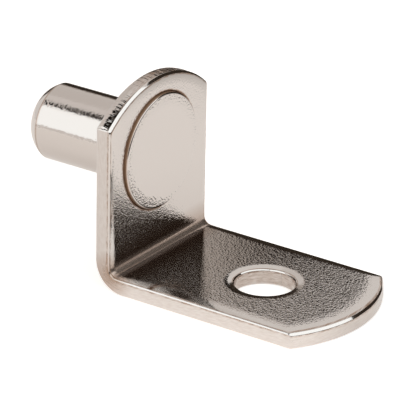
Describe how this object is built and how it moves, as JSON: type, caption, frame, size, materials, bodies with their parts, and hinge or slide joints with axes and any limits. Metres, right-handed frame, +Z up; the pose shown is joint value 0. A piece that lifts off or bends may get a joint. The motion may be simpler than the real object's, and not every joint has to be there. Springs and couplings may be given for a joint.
{
  "type": "shelf support pin",
  "caption": "L-shaped nickel-plated shelf support: a folded steel bracket with arced ends and a screw hole, carried by a headed pin that plugs into a cabinet side.",
  "frame": {"origin": "on the pin's axis, where the pin leaves the bracket's back face (the plane of the cabinet side)", "axes": "+Y along the pin into the cabinet side, +Z up, X across the strip; the shelf leg reaches towards -Y"},
  "size_m": [0.0134, 0.0305, 0.0163],
  "materials": {
    "plated_strip": "bright nickel plate over tumbled steel strip, lightly stippled",
    "plated_pin": "bright nickel plate over a smooth turned steel pin"
  },
  "bodies": {
    "root": {"bracket": "plated_strip", "pin": "plated_pin"}
  },
  "joints": []
}
